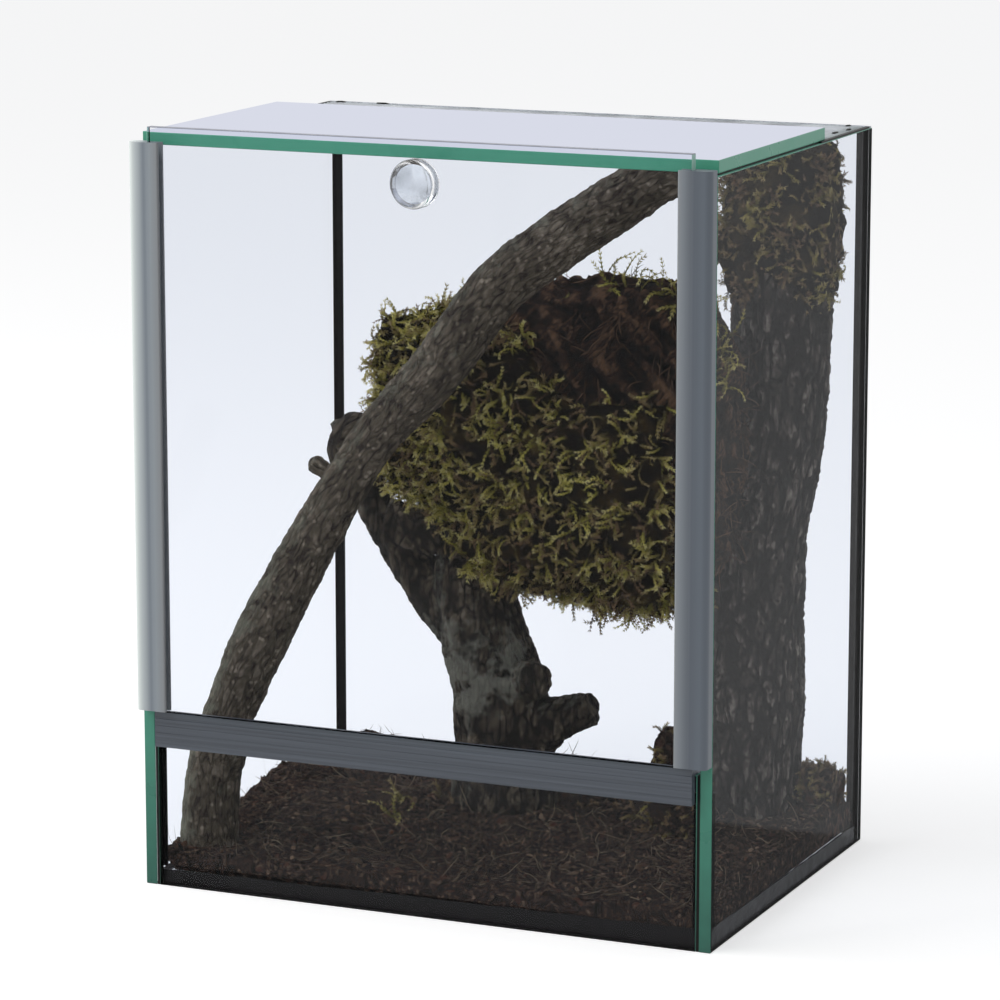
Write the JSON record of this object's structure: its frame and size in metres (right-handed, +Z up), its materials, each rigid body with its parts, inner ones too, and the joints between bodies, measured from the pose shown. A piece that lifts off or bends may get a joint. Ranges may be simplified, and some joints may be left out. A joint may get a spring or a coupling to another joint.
{
  "type": "insect terrarium",
  "caption": "Small glass insect terrarium with a sliding front pane, a mesh vent behind the lid, and bark, moss and soil inside.",
  "frame": {"origin": "middle of the flat underside of the glass box", "axes": "+X to the right as seen from the front, +Y to the back, +Z up; the sliding front faces -Y"},
  "size_m": [0.2, 0.155, 0.2525],
  "materials": {
    "float_glass": "clear float glass, green at the cut edges",
    "silicone": "black silicone sealant, satin",
    "mesh_metal": "bright stainless mesh",
    "channel_plastic": "satin extruded grey plastic",
    "rail_plastic": "slate grey extruded plastic with fine lengthwise lines",
    "acrylic": "clear polished acrylic",
    "bark": "rough dry bark",
    "moss": "dry olive moss",
    "soil": "loose dark peat soil with roots"
  },
  "bodies": {
    "terrarium": {"base_pane": "float_glass", "left_side_pane": "float_glass", "right_side_pane": "float_glass", "back_pane": "float_glass", "front_sill_pane": "float_glass", "lid_pane": "float_glass", "sill_seam_left": "silicone", "sill_seam_right": "silicone", "rear_seam_left": "silicone", "rear_seam_right": "silicone", "base_seam": "silicone", "lid_seam_left": "silicone", "lid_seam_right": "silicone", "vent_mesh": "mesh_metal", "vent_bead": "silicone", "left_door_channel": "channel_plastic", "right_door_channel": "channel_plastic", "left_channel_bond": "silicone", "right_channel_bond": "silicone", "sill_rail": "rail_plastic", "upright_trunk": "bark", "diagonal_branch": "bark", "forked_stump": "bark", "bark_chunk": "bark", "moss_mat": "moss", "trunk_moss": "moss", "substrate": "soil", "corner_mound": "moss"},
    "door": {"door_pane": "float_glass", "door_knob": "acrylic", "knob_pad": "acrylic"}
  },
  "joints": [
    {"name": "door_slide", "type": "slide", "parent": "terrarium", "child": "door", "axis": [0, 0, 1], "range_m": [0, 0.18]}
  ]
}
